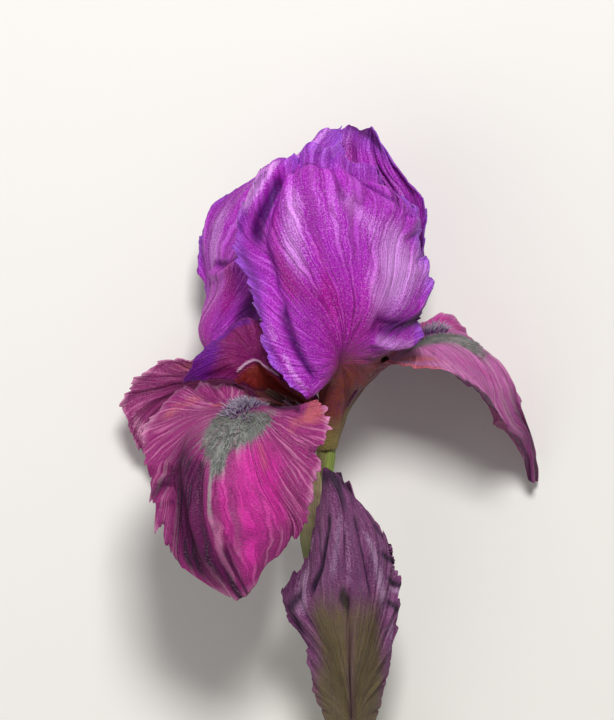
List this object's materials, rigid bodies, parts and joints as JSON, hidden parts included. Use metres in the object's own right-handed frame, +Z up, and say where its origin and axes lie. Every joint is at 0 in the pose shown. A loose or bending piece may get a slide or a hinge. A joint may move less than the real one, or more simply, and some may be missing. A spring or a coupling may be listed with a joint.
{
  "type": "iris flower",
  "caption": "Cut bearded iris lying down: open bloom with ruffled upright and hanging petals, bristly beards, style arms, and an opening bud on one stalk.",
  "frame": {"origin": "centre of the flower's outline on the surface that it lies on", "axes": "+Y along the stalk towards the top of the bloom, +Z up from the surface, +X to the right seen from above"},
  "size_m": [0.1456, 0.3144, 0.0984],
  "materials": {
    "standard_petal": "soft satin petal, bright violet to magenta with fine sparkle",
    "fall_petal": "soft velvety petal, hot pink-magenta to dusky rose with dark purple veins",
    "beard": "fine matte bristles, grey-white with purple roots",
    "style_arm": "thin satin petal, wine magenta with darker veins",
    "stamen": "matte cream, powdery anther",
    "green_tube": "waxy satin, yellow-green",
    "spathe": "papery matte, cream and pale green with brown edges",
    "stalk": "waxy satin green",
    "bud_petal": "matte dusky plum with tan and olive lower middle"
  },
  "bodies": {
    "root": {"front_standard": "standard_petal", "left_standard": "standard_petal", "back_standard": "standard_petal", "front_fall": "fall_petal", "right_fall": "fall_petal", "back_fall": "fall_petal", "front_beard": "beard", "right_beard": "beard", "back_beard": "beard", "front_style_arm": "style_arm", "right_style_arm": "style_arm", "back_style_arm": "style_arm", "front_stamen": "stamen", "right_stamen": "stamen", "back_stamen": "stamen", "perianth_tube": "green_tube", "outer_spathe": "spathe", "inner_spathe": "spathe", "stalk": "stalk", "bud_front_fall": "bud_petal", "bud_left_fall": "bud_petal", "bud_right_fall": "bud_petal", "bud_core": "bud_petal", "bud_tube": "green_tube", "bud_outer_spathe": "spathe", "bud_inner_spathe": "spathe"}
  },
  "joints": []
}
